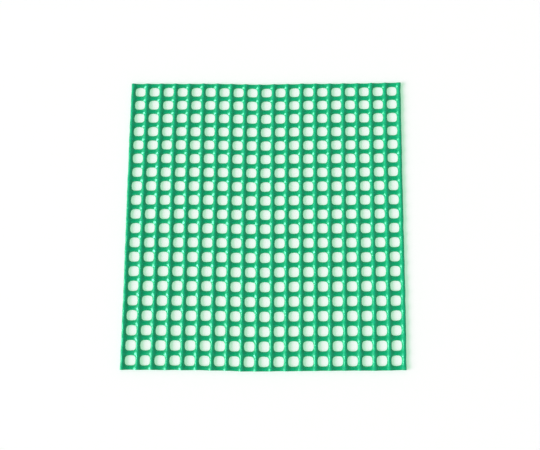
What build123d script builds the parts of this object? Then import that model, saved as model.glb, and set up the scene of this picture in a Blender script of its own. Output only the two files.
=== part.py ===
from build123d import *
import os

# Extruded plastic netting, a flat sheet in one piece. Raised ribs run along Y, and lower cross
# strands join them along X. Both are flush underneath, where the sheet lies on Z = 0.
# The origin is under the middle of the sheet. Lengths are in millimetres.

# Layout of the mesh, measured from strand to strand
rib_count = 20
rib_spacing = 10.0
cross_count = 21
cross_spacing = 10.0

# Section of a rib: straight flanks up to the shoulder, then a rounded crown
rib_width = 2.8
rib_shoulder_height = 1.8
rib_height = 2.4

# Section of a cross strand: a low bar that narrows towards its flat top
cross_base_width = 3.2
cross_top_width = 2.4
cross_height = 1.3

# Web in the corners of each aperture, along its sides at the underside
web_reach = 1.5

# How far the aperture cutter runs past the plate on each side
overcut = 0.5

# The sheet is cut flush along its outermost ribs and cross strands
sheet_width = (rib_count - 1) * rib_spacing + rib_width
sheet_length = (cross_count - 1) * cross_spacing + cross_top_width


def cross_width_at(height):
    """Width of a cross strand at a height above the underside."""
    taper = (cross_base_width - cross_top_width) / cross_height
    return cross_base_width - taper * height


def aperture_cutter():
    """One aperture: square where the strand tops meet, with its corners closed in by webs below."""
    half_x = (rib_spacing - rib_width) / 2
    foot, brim = -overcut, cross_height + overcut
    foot_y, top_y, brim_y = ((cross_spacing - cross_width_at(z)) / 2 for z in (foot, cross_height, brim))
    reach = web_reach * (cross_height - foot) / cross_height
    corner = [
        (half_x - reach, foot_y, foot),
        (half_x, foot_y - reach, foot),
        (half_x, top_y, cross_height),
        (half_x, brim_y, brim),
    ]
    mirrored = [(side * x, end * y, z) for x, y, z in corner for side in (-1, 1) for end in (-1, 1)]
    return ConvexPolyhedron(mirrored)


def cross_strand_plate():
    """Every cross strand and the foot of every rib, left standing between the apertures."""
    plate = Box(sheet_width, sheet_length, cross_height, align=(Align.CENTER, Align.CENTER, Align.MIN))
    cutter = aperture_cutter()
    places = GridLocations(rib_spacing, cross_spacing, rib_count - 1, cross_count - 1)
    return plate - [place * cutter for place in places]


def rib_top():
    """The part of a rib that stands above the cross strands and runs over every crossing."""
    half = rib_width / 2
    left_shoulder, right_shoulder = (-half, rib_shoulder_height), (half, rib_shoulder_height)
    with BuildPart() as rib:
        with BuildSketch(Plane.XZ):
            with BuildLine():
                Polyline(left_shoulder, (-half, cross_height), (half, cross_height), right_shoulder)
                ThreePointArc(right_shoulder, (0, rib_height), left_shoulder)
            make_face()
        extrude(amount=sheet_length / 2, both=True)
    return rib.part


def netting_sheet():
    """The whole sheet as one solid."""
    top = rib_top()
    places = GridLocations(rib_spacing, cross_spacing, rib_count, 1)
    return cross_strand_plate() + [place * top for place in places]


os.makedirs("parts", exist_ok=True)
sheet = netting_sheet()
sheet.label = "netting_sheet"
export_step(sheet, "parts/netting_sheet.step")
print(f"netting_sheet: {len(sheet.solids())} solid, {len(sheet.faces())} faces, {sheet.volume:.1f} mm3")
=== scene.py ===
# %% [markdown]
# # A sheet of extruded plastic netting
# The real thing is one piece of green polyethylene. A die squeezes out the raised ribs, which run
# away from the camera here, and a second ring in the die opens and shuts to lay the lower cross
# strands over them. Everything fuses while it is soft, so the corners of each aperture are rounded
# and every crossing is filled in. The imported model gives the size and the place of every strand,
# and this notebook dresses it: one smooth mesh, its plastic, the cut edges, the floor and the light.

# %% Load the fixed frame
import math

import bmesh
import bpy
import numpy as np
from mathutils import Euler, Matrix, Vector, noise


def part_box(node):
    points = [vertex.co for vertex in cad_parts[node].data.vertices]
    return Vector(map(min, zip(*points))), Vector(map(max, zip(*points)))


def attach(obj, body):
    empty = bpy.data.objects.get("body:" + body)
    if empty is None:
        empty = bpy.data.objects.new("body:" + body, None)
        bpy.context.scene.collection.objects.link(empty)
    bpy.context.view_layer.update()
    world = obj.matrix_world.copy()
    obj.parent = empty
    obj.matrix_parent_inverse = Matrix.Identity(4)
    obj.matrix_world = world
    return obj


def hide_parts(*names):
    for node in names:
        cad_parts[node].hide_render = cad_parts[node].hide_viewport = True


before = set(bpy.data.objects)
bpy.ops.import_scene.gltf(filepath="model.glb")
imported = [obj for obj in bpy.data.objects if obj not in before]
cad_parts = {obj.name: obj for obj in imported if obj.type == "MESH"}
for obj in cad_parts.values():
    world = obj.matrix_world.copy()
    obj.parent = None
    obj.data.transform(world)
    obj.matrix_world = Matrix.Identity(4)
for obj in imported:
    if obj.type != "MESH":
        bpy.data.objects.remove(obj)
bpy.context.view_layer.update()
NODE = "netting_sheet"
low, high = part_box(NODE)
MM = 0.001
print("nodes:", list(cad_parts), "box in mm:", [round(v / MM, 2) for v in (*low, *high)])

# %% [markdown]
# ## The lie of the mesh
# The sheet is cut flush along its outer strands, so the outermost strand centres are half a strand
# inside the box. All the other centres follow from the number of strands, and both pitches come out
# at 10 mm. One aperture of this lattice is worked out once and then repeated. The strands are drawn
# a little slimmer than the model's plain bars, because the fillets between them add the rest.

# %% Strand centres and sizes, in metres
RIBS, CROSS_STRANDS = 20, 21
SIDE_TRIM, END_TRIM = 1.4 * MM, 1.2 * MM
RIB_WIDTH = 2.6 * MM
RIB_HEIGHT = high[2] - low[2]
CROSS_WIDTH = 2.9 * MM
CROSS_HEIGHT = 1.3 * MM

rib_x = np.linspace(low[0] + SIDE_TRIM, high[0] - SIDE_TRIM, RIBS)
cross_y = np.linspace(low[1] + END_TRIM, high[1] - END_TRIM, CROSS_STRANDS)
PITCH_X, PITCH_Y = rib_x[1] - rib_x[0], cross_y[1] - cross_y[0]
print(f"pitch {PITCH_X / MM:.2f} x {PITCH_Y / MM:.2f} mm, {(RIBS - 1) * (CROSS_STRANDS - 1)} apertures")

# %% [markdown]
# ## The surface as a distance
# Polyethylene leaves the die hot and sags into its own joints. Bevels on booleans would give each
# crossing the same hard, machined edge, so the surface is written as a distance instead: negative
# inside the plastic, zero on its skin. Two such distances melt together with a smooth minimum, and
# its reach is the radius of the fillet between the strands. Where two strands fuse, the plastic of
# both piles up into a knot with sloping shoulders. It is these slopes that catch the light at every
# crossing, so the knots get a form of their own: a low cone, kept inside the rounded apertures.

# %% Smooth joins and a rounded bar
def melt(a, b, reach):
    """The union of two bodies, with a fillet of about this reach where they meet."""
    near = np.clip(reach - np.abs(a - b), 0, None)
    return np.minimum(a, b) - near * near / (4 * reach)


def rounded_bar(across, z, half_width, height, top_radius, foot_radius):
    """Distance from a bar on the floor, by its section: a rounded top and a small radius at the foot."""
    middle = height / 2
    radius = np.where(z > middle, top_radius, foot_radius)
    out_x = np.abs(across) - half_width + radius
    out_z = np.abs(z - middle) - middle + radius
    inside = np.minimum(np.maximum(out_x, out_z), 0)
    return inside + np.hypot(np.maximum(out_x, 0), np.maximum(out_z, 0)) - radius


def rounded_hole(x, y, half_x, half_y, radius):
    """Distance to the plastic round an aperture in plan, with x and y from its middle."""
    out_x, out_y = np.abs(x) - half_x + radius, np.abs(y) - half_y + radius
    inside = np.minimum(np.maximum(out_x, out_y), 0)
    return -(inside + np.hypot(np.maximum(out_x, 0), np.maximum(out_y, 0)) - radius)


# %% The netting round one aperture
CROWN_RADIUS = 1.15 * MM
CROSS_RADIUS = 0.75 * MM
FOOT_RADIUS = 0.25 * MM
CORNER_RADIUS = 3.0 * MM
WEB_HEIGHT = 1.15 * MM
WEB_SETBACK = 0.12 * MM
JOINT_REACH = 0.85 * MM
WEB_REACH = 0.7 * MM

# How far a rib rises at a crossing, over what length, and what the fillets there add by themselves
KNOT_LIFT, KNOT_LENGTH, KNOT_FILL = 0.10 * MM, 1.6 * MM, 0.07 * MM

# The knot's cone: its tip would stand above the rib, but it is cut off below the rib's crest
CONE_TIP, CONE_TOP = 0.37 * MM, 0.25 * MM
CONE_SLOPE = math.radians(31)


def netting_distance(x, y, z):
    """Signed distance from endless netting, with x and y measured from the middle of an aperture."""
    x = x - PITCH_X * np.round(x / PITCH_X)
    y = y - PITCH_Y * np.round(y / PITCH_Y)
    from_rib = np.abs(x) - PITCH_X / 2
    from_cross = np.abs(y) - PITCH_Y / 2
    knot = np.exp(-((from_cross / KNOT_LENGTH) ** 2))
    crest = RIB_HEIGHT - KNOT_FILL - KNOT_LIFT * (1 - knot)
    rib = rounded_bar(from_rib, z, RIB_WIDTH / 2, crest, CROWN_RADIUS, FOOT_RADIUS)
    cross = rounded_bar(from_cross, z, CROSS_WIDTH / 2, CROSS_HEIGHT, CROSS_RADIUS, FOOT_RADIUS)
    half_x = (PITCH_X - RIB_WIDTH) / 2 + WEB_SETBACK
    half_y = (PITCH_Y - CROSS_WIDTH) / 2 + WEB_SETBACK
    hole = rounded_hole(x, y, half_x, half_y, CORNER_RADIUS)
    slab = np.abs(z - WEB_HEIGHT / 2) - WEB_HEIGHT / 2
    web = -melt(-hole, -slab, WEB_REACH)
    below_tip = (z - RIB_HEIGHT - CONE_TIP) * math.cos(CONE_SLOPE)
    cone = below_tip + np.hypot(from_rib, from_cross) * math.sin(CONE_SLOPE)
    cone = -melt(-cone, RIB_HEIGHT - CONE_TOP - z, WEB_REACH / 2)
    cone = -melt(-hole, -cone, WEB_REACH)
    return melt(melt(melt(rib, cross, JOINT_REACH), web, WEB_REACH), cone, WEB_REACH)


print("plastic at a crossing:", bool(netting_distance(PITCH_X / 2, PITCH_Y / 2, MM) < 0))
print("open in the middle:", bool(netting_distance(0.0, 0.0, MM) > 0))

# %% [markdown]
# ## Skinning one cell
# Voxel remeshing could turn the distance into a mesh, but it needs millions of faces before a 2 mm
# strand looks round. A cell is the square between four strand centres, and every ray from that
# outline towards the middle of the aperture meets the skin just once. So rings of points are shot
# onto the surface, over the crown, down the wall and under the foot, and the faces follow the
# strands the way a modeller would lay them.

# %% Rings of points on the skin
SIDE_STEPS = np.array([0.0, 0.06, 0.125, 0.23, 0.5, 0.77, 0.875, 0.94])
CROWN_ANGLES = np.radians([20, 38, 56, 78])
CORE_HEIGHT = 0.6 * MM
FARTHEST = 4.5 * MM
HALVINGS = 26


def cell_outline():
    """Points round a cell, anticlockwise from its lower left corner, and closer at the crossings."""
    ahead, back = SIDE_STEPS - 0.5, 0.5 - SIDE_STEPS
    edge = np.full_like(ahead, 0.5)
    xs = np.concatenate([ahead, edge, back, -edge])
    ys = np.concatenate([-edge, ahead, edge, back])
    return xs * PITCH_X, ys * PITCH_Y


def shoot(x, y, z, dx, dy, dz, distance=netting_distance):
    """Where rays that start in the plastic leave it, by halving the stretch that holds the skin."""
    near, far = np.zeros_like(x), np.full_like(x, FARTHEST)
    for _ in range(HALVINGS):
        middle = (near + far) / 2
        inside = distance(x + dx * middle, y + dy * middle, z + dz * middle) < 0
        near, far = np.where(inside, middle, near), np.where(inside, far, middle)
    return x + dx * near, y + dy * near, z + dz * near


def cell_rings():
    """Rings from the crest of the strands to the middle of their underside."""
    x, y = cell_outline()
    core = np.full_like(x, CORE_HEIGHT)
    reach = np.hypot(x, y)
    in_x, in_y = -x / reach, -y / reach
    flat = np.zeros_like(x)
    rings = [shoot(x, y, core, flat, flat, flat + 1)]
    for angle in CROWN_ANGLES:
        down, up = math.sin(angle), math.cos(angle)
        rings.append(shoot(x, y, core, in_x * down, in_y * down, flat + up))
    foot = shoot(x, y, flat + FOOT_RADIUS, in_x, in_y, flat)
    rings.append(foot)
    rings.append((foot[0] - in_x * FOOT_RADIUS, foot[1] - in_y * FOOT_RADIUS, flat))
    rings.append((x, y, flat))
    return np.array([np.stack(ring, axis=1) for ring in rings])


rings = cell_rings()
crest = rings[0, :, 2].max()
print(f"{rings.shape[1]} points round a cell, {rings.shape[0]} rings, crest {crest / MM:.2f} mm")

# %% [markdown]
# ## The cut edges
# A knife ran along the outermost strands and left them standing. At the two long sides the rib keeps
# its own round flank, with a flat scar where each cross strand was severed. At the two ends the cross
# strand is shaved, and every rib shows its section. The endless netting is simply stopped at a plane,
# and narrow strips of faces close the half strands outside the last cells.

# %% Strips along the outermost strands
END_ROWS = np.array([0.0, 0.55, 1.0]) * END_TRIM
ALONG = np.append(SIDE_STEPS, 1.0) - 0.5


def side_strip(y):
    """The outer half of a rib on the right side, from crest to underside, at each y."""

    def trimmed(px, py, pz):
        return np.maximum(netting_distance(px, py, pz), px - PITCH_X / 2 - SIDE_TRIM)

    x, flat = np.full_like(y, PITCH_X / 2), np.zeros_like(y)
    core = flat + CORE_HEIGHT
    columns = [shoot(x, y, core, flat, flat, flat + 1)]
    for angle in CROWN_ANGLES:
        columns.append(shoot(x, y, core, flat + math.sin(angle), flat, flat + math.cos(angle), trimmed))
    foot = shoot(x, y, flat + FOOT_RADIUS, flat + 1, flat, flat, trimmed)
    columns.append(foot)
    columns.append((foot[0] - FOOT_RADIUS, foot[1], flat))
    columns.append((x, y, flat))
    return np.array([np.stack(column, axis=1) for column in columns])


def end_strip(x):
    """The outer half of a cross strand at the far end, over its top and down the cut, at each x."""
    flat = np.zeros_like(x)
    rows = []
    for out in END_ROWS:
        rows.append(shoot(x, flat + PITCH_Y / 2 + out, flat + CORE_HEIGHT, flat, flat, flat + 1))
    top = rows[-1]
    rows.append((x, top[1], top[2] / 2))
    rows.append((x, top[1], flat))
    rows.append((x, flat + PITCH_Y / 2, flat))
    return np.array([np.stack(row, axis=1) for row in rows])


side_rows = side_strip(ALONG * PITCH_Y)
end_rows = end_strip(ALONG * PITCH_X)
corner_rows = side_strip(PITCH_Y / 2 + END_ROWS)
print("side strip", side_rows.shape, "end strip", end_rows.shape, "corner", corner_rows.shape)


# %% Gathering the patches
class Skin:
    """Patches of faces, kept as one list of points and one of faces until they are welded."""

    def __init__(self):
        self.points, self.faces, self.count = [], [], 0

    def grid(self, points, closed=False):
        """Quads over rows of points. A closed grid joins the last point of each row to the first."""
        rows, columns = points.shape[:2]
        index = np.arange(rows * columns).reshape(rows, columns) + self.count
        if closed:
            index = np.hstack([index, index[:, :1]])
        quads = np.stack([index[:-1, :-1], index[:-1, 1:], index[1:, 1:], index[1:, :-1]], axis=-1)
        self.faces += quads.reshape(-1, 4).tolist()
        self.points.append(points.reshape(-1, 3))
        self.count += rows * columns

    def polygon(self, points):
        """One flat face."""
        self.faces.append(list(range(self.count, self.count + len(points))))
        self.points.append(np.array(points))
        self.count += len(points)


def mirrored(points, flip_x, flip_y):
    """A copy on the other side of the sheet."""
    return points * np.array([-1 if flip_x else 1, -1 if flip_y else 1, 1])


skin = Skin()
middle_x = (rib_x[:-1] + rib_x[1:]) / 2
middle_y = (cross_y[:-1] + cross_y[1:]) / 2
for cx in middle_x:
    for cy in middle_y:
        skin.grid(rings + [cx, cy, 0], closed=True)
for flip in (False, True):
    for cy in middle_y:
        skin.grid(mirrored(side_rows + [middle_x[-1], cy, 0], flip, False))
    for cx in middle_x:
        skin.grid(mirrored(end_rows + [cx, middle_y[-1], 0], False, flip))
for flip_x in (False, True):
    for flip_y in (False, True):
        corner = mirrored(corner_rows + [middle_x[-1], middle_y[-1], 0], flip_x, flip_y)
        skin.grid(corner[:-1])
        skin.polygon([*corner[-2], corner[-1, -1], corner[-1, 0]])
        cut_middle = (corner[0, -1] + corner[-1, -1]) / 2
        skin.polygon([*corner[:, -1], cut_middle])
print(f"{skin.count} points and {len(skin.faces)} faces before welding")

# %% [markdown]
# ## Drift and wobble
# No netting is drawn as true as its drawing. The rows bow a little, because the middle of the die
# runs hotter, and single strands wander and thin out as they are stretched. The bow is a few plain
# curves over the whole sheet, and the wander is smooth noise about one pitch across, so each aperture
# differs from the next. Nothing is moved under the floor.

# %% Where each point of the sheet ends up
HUNDRED = 100 * MM
RIB_BOW, RIB_LEAN = -0.66 * MM, 0.40 * MM
ROW_BOW, ROW_SWEEP = 0.53 * MM, 0.54 * MM
ROW_CREEP, ROW_SQUEEZE = -1.02 * MM, -0.62 * MM
SEAM_DIP, SEAM_PLACE, SEAM_WIDTH = -0.58 * MM, -0.05, 0.23
WANDER, WANDER_SIZE = 0.22 * MM, 9 * MM
THICKNESS_SPREAD, THICKNESS_SCALE = 0.04, 0.6
X_SEED, Y_SEED, Z_SEED = Vector((0, 0, 3.1)), Vector((0, 0, 8.7)), Vector((0, 0, 5.5))


def settled(x, y, z):
    """The place of a point after the sheet has been drawn, cooled and laid down."""
    u, v = x / HUNDRED, y / HUNDRED
    seam = math.exp(-(((u - SEAM_PLACE) / SEAM_WIDTH) ** 2))
    drift_x = RIB_BOW * u * u + RIB_LEAN * v**3
    drift_y = ROW_BOW * u * u + ROW_SWEEP * u**3 + SEAM_DIP * seam
    drift_y += ROW_CREEP * v * v + ROW_SQUEEZE * v**3
    spot = Vector((x / WANDER_SIZE, y / WANDER_SIZE, 0.0))
    wander_x = WANDER * noise.noise(spot + X_SEED)
    wander_y = WANDER * noise.noise(spot + Y_SEED)
    thick = 1 + THICKNESS_SPREAD * (noise.noise(spot * THICKNESS_SCALE + Z_SEED) - 0.5)
    return x + drift_x + wander_x, y + drift_y + wander_y, z * thick


# %% One welded mesh
SHARP_ANGLE = math.radians(38)

points = [settled(*point) for point in np.concatenate(skin.points).tolist()]
mesh = bpy.data.meshes.new("netting_skin")
mesh.from_pydata(points, [], skin.faces)
welder = bmesh.new()
welder.from_mesh(mesh)
bmesh.ops.remove_doubles(welder, verts=welder.verts, dist=0.001 * MM)
bmesh.ops.recalc_face_normals(welder, faces=welder.faces)
open_edges = sum(not edge.is_manifold for edge in welder.edges)
triangles = sum(len(face.verts) - 2 for face in welder.faces)
print(f"{len(welder.verts)} points, {triangles} triangles, {open_edges} open edges, "
      f"volume {welder.calc_volume() / MM**3:.0f} mm3")
welder.to_mesh(mesh)
welder.free()
mesh.shade_smooth()
mesh.set_sharp_from_angle(angle=SHARP_ANGLE)
netting = bpy.data.objects.new("netting", mesh)
bpy.context.scene.collection.objects.link(netting)

# %% [markdown]
# ## Which faces were cut
# The knife leaves a matt, slightly paler face with fine drag lines, while the skin keeps the gloss of
# the die. Both are the same plastic, so they share their colour and grain. The cut faces are found by
# the way they look: flat, upright and on the outside of the sheet.

# %% Choosing the material of each face
CUT = 1
UPRIGHT = 0.98
SIDE_BAND, END_BAND = 1.2 * MM, 2.6 * MM
FOOT_BAND = 0.3 * MM
cut_faces = 0
for face in mesh.polygons:
    across = abs(face.normal.x) > UPRIGHT and abs(face.center.x) > high[0] - SIDE_BAND
    along = abs(face.normal.y) > UPRIGHT and abs(face.center.y) > high[1] - END_BAND
    if (across or along) and face.center.z > FOOT_BAND:
        face.material_index = CUT
        cut_faces += 1
print(f"{cut_faces} cut faces of {len(mesh.polygons)}")

# %% [markdown]
# ## Green polyethylene
# Netting like this is coloured in the mass and slightly waxy: light enters a strand and leaves it
# a little way off, and thin webs look paler. Four effects are shared by the skin and the cut faces,
# so each is a node group: uneven colour, the frozen skin, the drag lines of die or knife, and crowns
# painted paler, partly as rubbing wear and partly as a painted highlight. A flat colour with plain
# gloss would look like paint, and an image of plastic would repeat.

# %% Node helpers
def add_node(tree, kind, **settings):
    """A node of this kind, with its settings."""
    node = tree.nodes.new(kind)
    for name, value in settings.items():
        setattr(node, name, value)
    return node


def new_group(name, inputs, outputs):
    """An empty shader node group with float, colour and vector sockets."""
    tree = bpy.data.node_groups.new(name, "ShaderNodeTree")
    for label, kind, default in inputs:
        socket = tree.interface.new_socket(name=label, in_out="INPUT", socket_type=kind)
        socket.default_value = default
    for label, kind in outputs:
        tree.interface.new_socket(name=label, in_out="OUTPUT", socket_type=kind)
    return tree, tree.nodes.new("NodeGroupInput"), tree.nodes.new("NodeGroupOutput")


def place_group(tree, group, **values):
    """A group in a material, with its own values."""
    node = tree.nodes.new("ShaderNodeGroup")
    node.node_tree = group
    for name, value in values.items():
        node.inputs[name.replace("_", " ")].default_value = value
    return node


# %% Group: uneven colour in the mass
uneven, group_in, group_out = new_group(
    "uneven colour",
    [("Base", "NodeSocketColor", (0.02, 0.6, 0.28, 1)), ("Deep", "NodeSocketColor", (0.0, 0.4, 0.2, 1)),
     ("Patch Scale", "NodeSocketFloat", 60.0), ("Amount", "NodeSocketFloat", 0.5)],
    [("Color", "NodeSocketColor")],
)
place = add_node(uneven, "ShaderNodeTexCoord")
patches = add_node(uneven, "ShaderNodeTexNoise", noise_dimensions="3D")
patches.inputs["Detail"].default_value = 3.0
patches.inputs["Roughness"].default_value = 0.55
strength = add_node(uneven, "ShaderNodeMath", operation="MULTIPLY")
blend = add_node(uneven, "ShaderNodeMix", data_type="RGBA")
uneven.links.new(place.outputs["Object"], patches.inputs["Vector"])
uneven.links.new(group_in.outputs["Patch Scale"], patches.inputs["Scale"])
uneven.links.new(patches.outputs["Fac"], strength.inputs[0])
uneven.links.new(group_in.outputs["Amount"], strength.inputs[1])
uneven.links.new(strength.outputs[0], blend.inputs["Factor"])
uneven.links.new(group_in.outputs["Base"], blend.inputs["A"])
uneven.links.new(group_in.outputs["Deep"], blend.inputs["B"])
uneven.links.new(blend.outputs["Result"], group_out.inputs["Color"])
print("group:", uneven.name, len(uneven.nodes), "nodes")

# %% [markdown]
# ## Lumps, grain and drag lines
# Up close the skin is never quite even. The melt swells a little where it froze, so the highlight
# along a rib breaks up; over that lies a faint orange peel, and hair-fine lines run the way the
# plastic left the die. Sculpting this would take millions of faces, and a Bump node shades it for
# nothing. The groups put out heights in millimetres, so the Bump node's distance is one millimetre.

# %% Group: the frozen skin
frozen, group_in, group_out = new_group(
    "frozen skin",
    [("Lump Height", "NodeSocketFloat", 0.1), ("Peel Height", "NodeSocketFloat", 0.01),
     ("Roughness Low", "NodeSocketFloat", 0.3), ("Roughness High", "NodeSocketFloat", 0.45)],
    [("Height", "NodeSocketFloat"), ("Roughness", "NodeSocketFloat")],
)
place = add_node(frozen, "ShaderNodeTexCoord")


def skin_noise(scale, detail):
    """Noise over the object, at a scale in waves per metre."""
    node = add_node(frozen, "ShaderNodeTexNoise", noise_dimensions="3D")
    node.inputs["Scale"].default_value = scale
    node.inputs["Detail"].default_value = detail
    frozen.links.new(place.outputs["Object"], node.inputs["Vector"])
    return node.outputs["Fac"]


lumps = add_node(frozen, "ShaderNodeMath", operation="MULTIPLY")
peel = add_node(frozen, "ShaderNodeMath", operation="MULTIPLY_ADD")
spread = add_node(frozen, "ShaderNodeMapRange")
spread.inputs["From Min"].default_value = 0.35
spread.inputs["From Max"].default_value = 0.65
frozen.links.new(skin_noise(380.0, 1.0), lumps.inputs[0])
frozen.links.new(group_in.outputs["Lump Height"], lumps.inputs[1])
frozen.links.new(skin_noise(1300.0, 2.0), peel.inputs[0])
frozen.links.new(group_in.outputs["Peel Height"], peel.inputs[1])
frozen.links.new(lumps.outputs[0], peel.inputs[2])
frozen.links.new(skin_noise(140.0, 4.0), spread.inputs["Value"])
frozen.links.new(group_in.outputs["Roughness Low"], spread.inputs["To Min"])
frozen.links.new(group_in.outputs["Roughness High"], spread.inputs["To Max"])
frozen.links.new(peel.outputs[0], group_out.inputs["Height"])
frozen.links.new(spread.outputs["Result"], group_out.inputs["Roughness"])
print("group:", frozen.name, len(frozen.nodes), "nodes")

# %% Group: drag lines
drag, group_in, group_out = new_group(
    "drag lines",
    [("Waves", "NodeSocketVector", (2500.0, 40.0, 2500.0)), ("Line Height", "NodeSocketFloat", 0.01)],
    [("Height", "NodeSocketFloat")],
)
place = add_node(drag, "ShaderNodeTexCoord")
stretch = add_node(drag, "ShaderNodeVectorMath", operation="MULTIPLY")
lines = add_node(drag, "ShaderNodeTexNoise", noise_dimensions="3D")
lines.inputs["Scale"].default_value = 1.0
lines.inputs["Detail"].default_value = 1.0
depth = add_node(drag, "ShaderNodeMath", operation="MULTIPLY")
drag.links.new(place.outputs["Object"], stretch.inputs[0])
drag.links.new(group_in.outputs["Waves"], stretch.inputs[1])
drag.links.new(stretch.outputs["Vector"], lines.inputs["Vector"])
drag.links.new(lines.outputs["Fac"], depth.inputs[0])
drag.links.new(group_in.outputs["Line Height"], depth.inputs[1])
drag.links.new(depth.outputs[0], group_out.inputs["Height"])
print("group:", drag.name, len(drag.nodes), "nodes")

# %% [markdown]
# ## Rubbed and highlit crowns
# A rolled sheet rubs on itself, and only its high places touch. The crowns of the ribs are painted a
# shade paler than the cross strands below them, partly as that rubbing wear and partly as a painted
# highlight on the high places. The mask rises with height over the floor and is broken up with noise.
# Pointiness is not used.

# %% Group: crowns paler with height, as rubbing wear and a painted highlight
rubbed_and_highlit, group_in, group_out = new_group(
    "rubbed crowns",
    [("Plain Height", "NodeSocketFloat", 0.0015), ("Palest Height", "NodeSocketFloat", 0.0023),
     ("Amount", "NodeSocketFloat", 0.5)],
    [("Mask", "NodeSocketFloat")],
)
place = add_node(rubbed_and_highlit, "ShaderNodeTexCoord")
split = add_node(rubbed_and_highlit, "ShaderNodeSeparateXYZ")
# Paler with height over the floor: partly rubbing wear, partly a painted highlight on the crowns.
reach = add_node(rubbed_and_highlit, "ShaderNodeMapRange", interpolation_type="SMOOTHSTEP")
patches = add_node(rubbed_and_highlit, "ShaderNodeTexNoise", noise_dimensions="3D")
patches.inputs["Scale"].default_value = 260.0
patches.inputs["Detail"].default_value = 3.0
broken = add_node(rubbed_and_highlit, "ShaderNodeMath", operation="MULTIPLY")
share = add_node(rubbed_and_highlit, "ShaderNodeMath", operation="MULTIPLY", use_clamp=True)
rubbed_and_highlit.links.new(place.outputs["Object"], split.inputs["Vector"])
rubbed_and_highlit.links.new(place.outputs["Object"], patches.inputs["Vector"])
rubbed_and_highlit.links.new(split.outputs["Z"], reach.inputs["Value"])
rubbed_and_highlit.links.new(group_in.outputs["Plain Height"], reach.inputs["From Min"])
rubbed_and_highlit.links.new(group_in.outputs["Palest Height"], reach.inputs["From Max"])
rubbed_and_highlit.links.new(reach.outputs["Result"], broken.inputs[0])
rubbed_and_highlit.links.new(patches.outputs["Fac"], broken.inputs[1])
rubbed_and_highlit.links.new(broken.outputs[0], share.inputs[0])
rubbed_and_highlit.links.new(group_in.outputs["Amount"], share.inputs[1])
rubbed_and_highlit.links.new(share.outputs[0], group_out.inputs["Mask"])
print("group:", rubbed_and_highlit.name, len(rubbed_and_highlit.nodes), "nodes")

# %% [markdown]
# ## One plastic, two finishes
# Here the four groups meet in one shader. The skin froze against smooth metal and is glossy, while
# the cut is rough and a shade paler. The sheen is strong and tinted green, because waxy plastic lets
# much of the light dip under its skin before it comes back. A white sheen would look like varnish.

# %% The two finishes
def finish(name, base, deep, pale, crown_paling, heights, rough, waves):
    """Green polyethylene, as its die or a knife left it."""
    material = bpy.data.materials.new(name)
    material.use_nodes = True
    tree = material.node_tree
    plastic = tree.nodes["Principled BSDF"]
    plastic.inputs["IOR"].default_value = 1.5
    plastic.inputs["Specular IOR Level"].default_value = 1.0
    plastic.inputs["Specular Tint"].default_value = (0.32, 1.0, 0.68, 1)
    plastic.inputs["Subsurface Weight"].default_value = 0.3
    plastic.inputs["Subsurface Radius"].default_value = (0.35, 1.0, 0.6)
    plastic.inputs["Subsurface Scale"].default_value = 0.9 * MM
    colour = place_group(tree, uneven, Base=base, Deep=deep)
    crowns = place_group(tree, rubbed_and_highlit, Amount=crown_paling)
    paler = add_node(tree, "ShaderNodeMix", data_type="RGBA")
    paler.inputs["B"].default_value = pale
    texture = place_group(tree, frozen, Lump_Height=heights[0], Peel_Height=heights[1])
    texture.inputs["Roughness Low"].default_value = rough[0]
    texture.inputs["Roughness High"].default_value = rough[1]
    streaks = place_group(tree, drag, Waves=waves, Line_Height=heights[2])
    relief = add_node(tree, "ShaderNodeMath", operation="ADD")
    bump = add_node(tree, "ShaderNodeBump")
    bump.inputs["Distance"].default_value = MM
    # The crowns are painted paler: partly rubbing wear, partly a painted highlight.
    tree.links.new(crowns.outputs["Mask"], paler.inputs["Factor"])
    tree.links.new(colour.outputs["Color"], paler.inputs["A"])
    tree.links.new(paler.outputs["Result"], plastic.inputs["Base Color"])
    tree.links.new(texture.outputs["Roughness"], plastic.inputs["Roughness"])
    tree.links.new(texture.outputs["Height"], relief.inputs[0])
    tree.links.new(streaks.outputs["Height"], relief.inputs[1])
    tree.links.new(relief.outputs[0], bump.inputs["Height"])
    tree.links.new(bump.outputs["Normal"], plastic.inputs["Normal"])
    return material


skin_finish = finish(
    "green_die_skin",
    base=(0.003, 0.49, 0.205, 1),
    deep=(0.001, 0.35, 0.135, 1),
    pale=(0.02, 0.60, 0.30, 1),
    crown_paling=0.8,
    heights=(0.10, 0.012, 0.006),
    rough=(0.22, 0.34),
    waves=(2500, 45, 2500),
)
cut_finish = finish(
    "green_knife_cut",
    base=(0.03, 0.52, 0.25, 1),
    deep=(0.01, 0.42, 0.19, 1),
    pale=(0.05, 0.62, 0.32, 1),
    crown_paling=0.3,
    heights=(0.03, 0.03, 0.03),
    rough=(0.55, 0.7),
    waves=(300, 300, 5000),
)
mesh.materials.append(skin_finish)
mesh.materials.append(cut_finish)
print("finishes:", [material.name for material in mesh.materials])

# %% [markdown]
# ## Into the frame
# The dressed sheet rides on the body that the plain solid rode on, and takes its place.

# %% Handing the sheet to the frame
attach(netting, "root")
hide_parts(NODE)

# %% [markdown]
# ## The floor
# The floor is white paper that also sends some light of its own straight to the camera, which is how
# a bright backdrop clips to white without any more light falling on the plastic. Where a strand
# shades it, that extra light alone is less than white, so the shadow stays. Green plastic tints the
# light that gets past it, and these shadows are mint, not grey. So the paper's own light is mint, and
# the paper's colour is the pink that adds up with it to white where nothing shades it.

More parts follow.
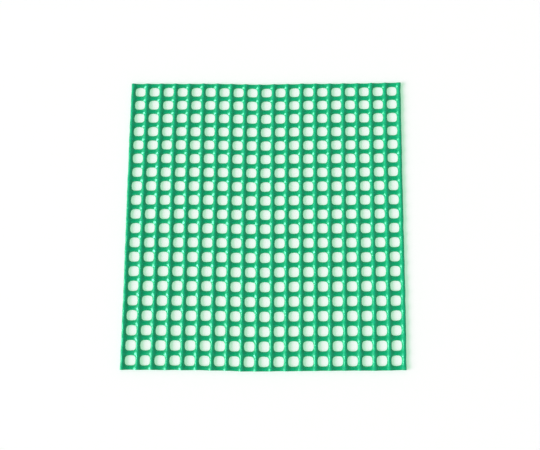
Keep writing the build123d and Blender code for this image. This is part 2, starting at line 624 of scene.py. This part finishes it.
# %% White floor
FLOOR_SIZE = 3.0
FLOOR_GLOW = 0.64
floor_mesh = bpy.data.meshes.new("paper_floor")
corners = [(-1, -1), (1, -1), (1, 1), (-1, 1)]
floor_mesh.from_pydata([(x * FLOOR_SIZE, y * FLOOR_SIZE, 0) for x, y in corners], [], [(0, 1, 2, 3)])
floor = bpy.data.objects.new("paper_floor", floor_mesh)
bpy.context.scene.collection.objects.link(floor)
paper = bpy.data.materials.new("white_paper")
paper.use_nodes = True
tree = paper.node_tree
sheet_shader = tree.nodes["Principled BSDF"]
sheet_shader.inputs["Base Color"].default_value = (0.90, 0.40, 0.75, 1)
sheet_shader.inputs["Roughness"].default_value = 0.9
sheet_shader.inputs["Emission Color"].default_value = (0.31, 1.0, 0.51, 1)
ray = add_node(tree, "ShaderNodeLightPath")
seen = add_node(tree, "ShaderNodeMath", operation="MAXIMUM")
shown = add_node(tree, "ShaderNodeMath", operation="MAXIMUM")
level = add_node(tree, "ShaderNodeMath", operation="MULTIPLY")
level.inputs[1].default_value = FLOOR_GLOW
tree.links.new(ray.outputs["Is Camera Ray"], seen.inputs[0])
tree.links.new(ray.outputs["Is Glossy Ray"], seen.inputs[1])
tree.links.new(seen.outputs[0], shown.inputs[0])
tree.links.new(ray.outputs["Is Transmission Ray"], shown.inputs[1])
tree.links.new(shown.outputs[0], level.inputs[0])
tree.links.new(level.outputs[0], sheet_shader.inputs["Emission Strength"])
floor_mesh.materials.append(paper)
print("floor:", FLOOR_SIZE * 2, "m wide")

# %% [markdown]
# ## Light
# Each crossing has a broad bright patch on its left shoulder and a dark right flank, a dimmer line
# runs up the left of every rib, and the paper is shaded just right of it. So one large window stands
# at the left, a little to the front and almost thirty degrees up. It is a sun lamp with a very wide
# disc: as soft as a window, but with no falloff, so the paper is equally white everywhere. The walls
# are brighter on the window's side, and the dark ceiling keeps the flat tops a deep green.

# %% Lamp and room
LEFT_WALL, RIGHT_WALL, CEILING = 1.5, 0.75, 0.12
WINDOW_WIDTH = math.radians(28)
WINDOW_PLACE = (-6.86, -1.70, 3.76)
lamp_data = bpy.data.lights.new("window", "SUN")
lamp_data.angle = WINDOW_WIDTH
lamp_data.energy = 2.9
lamp = bpy.data.objects.new("window", lamp_data)
lamp.location = WINDOW_PLACE
lamp.rotation_euler = (-lamp.location).to_track_quat("-Z", "Y").to_euler()
bpy.context.scene.collection.objects.link(lamp)
room = bpy.data.worlds.new("room")
room.use_nodes = True
background = room.node_tree.nodes["Background"]
background.inputs["Color"].default_value = (1, 1, 1, 1)
direction = add_node(room.node_tree, "ShaderNodeTexCoord")
parts = add_node(room.node_tree, "ShaderNodeSeparateXYZ")
walls = add_node(room.node_tree, "ShaderNodeMapRange")
walls.inputs["From Min"].default_value = -1.0
walls.inputs["To Min"].default_value = LEFT_WALL
walls.inputs["To Max"].default_value = RIGHT_WALL
level = add_node(room.node_tree, "ShaderNodeMapRange")
level.inputs["To Max"].default_value = CEILING
room.node_tree.links.new(direction.outputs["Generated"], parts.inputs["Vector"])
room.node_tree.links.new(parts.outputs["X"], walls.inputs["Value"])
room.node_tree.links.new(parts.outputs["Z"], level.inputs["Value"])
room.node_tree.links.new(walls.outputs["Result"], level.inputs["To Min"])
room.node_tree.links.new(level.outputs["Result"], background.inputs["Strength"])
bpy.context.scene.world = room
bpy.context.scene.view_settings.view_transform = "Standard"
print(f"lamp {lamp_data.energy:.1f} W per square metre, room", (LEFT_WALL, RIGHT_WALL, CEILING))

# %% [markdown]
# ## Camera
# The sheet was seen from almost straight above, less than half a metre away. The lens comes from how
# the rows close up towards the far end, and the tilt from where they lean.

# %% The photograph's view
FOCAL_PIXELS, PHOTO_WIDTH, SENSOR = 651, 540, 36
TURN = Euler((math.radians(-8.435), math.radians(-0.82), math.radians(-0.175)))
SHEET_FROM_LENS = Vector((-3.321, 2.445, -453.373)) * MM
camera_data = bpy.data.cameras.new("camera")
camera_data.sensor_width = SENSOR
camera_data.lens = FOCAL_PIXELS / PHOTO_WIDTH * SENSOR
camera_data.clip_start = 0.01
camera = bpy.data.objects.new("camera", camera_data)
camera.matrix_world = (Matrix.Translation(SHEET_FROM_LENS) @ TURN.to_matrix().to_4x4()).inverted()
bpy.context.scene.collection.objects.link(camera)
bpy.context.scene.camera = camera
eye = camera.matrix_world.translation
print(f"lens {camera_data.lens:.1f} mm, camera in mm:", [round(v / MM) for v in eye])
